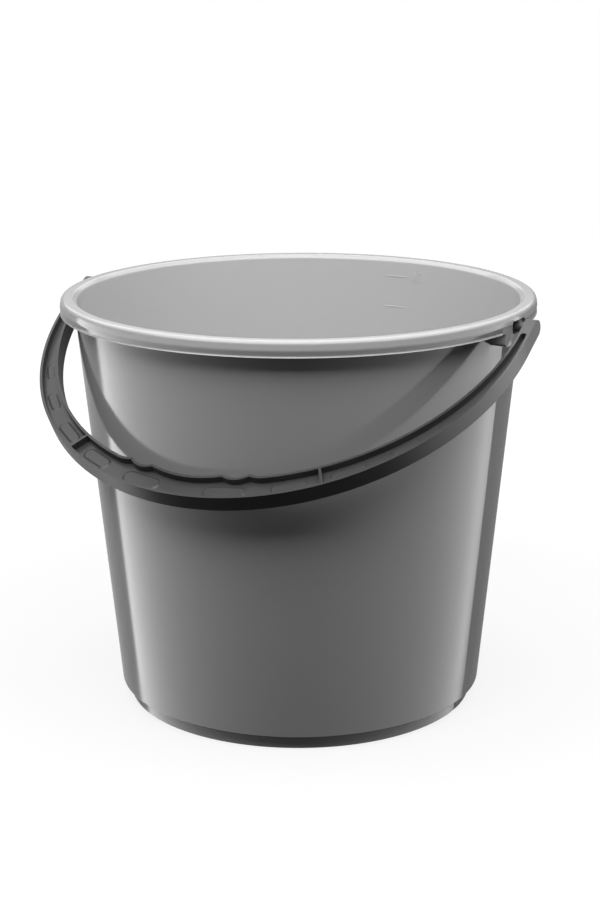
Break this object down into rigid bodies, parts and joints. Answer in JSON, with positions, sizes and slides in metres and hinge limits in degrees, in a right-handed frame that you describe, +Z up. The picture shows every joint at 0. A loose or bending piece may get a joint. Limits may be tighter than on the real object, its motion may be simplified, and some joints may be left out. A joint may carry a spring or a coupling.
{
  "type": "plastic bucket",
  "caption": "Round tapered household bucket with a turned-over rim, a stepped foot ring and a swinging plastic bail handle with a finger-shaped grip, for carrying water, feed or loose goods.",
  "frame": {"origin": "middle of the foot ring, on the ground", "axes": "+Z up along the bucket's axis, X along the handle's pin axis, handle at rest towards -Y"},
  "size_m": [0.3012, 0.284, 0.2446],
  "materials": {
    "bucket_plastic": "glossy mid-grey moulded polypropylene",
    "handle_plastic": "satin black moulded polypropylene"
  },
  "bodies": {
    "bucket": {"bucket_body": "bucket_plastic"},
    "handle": {"bail_handle": "handle_plastic"}
  },
  "joints": [
    {"name": "handle_swing", "type": "hinge", "parent": "bucket", "child": "handle", "pos_m": [0, 0, 0.2366], "axis": [-1, 0, 0], "range_deg": [0, 240.6]}
  ]
}
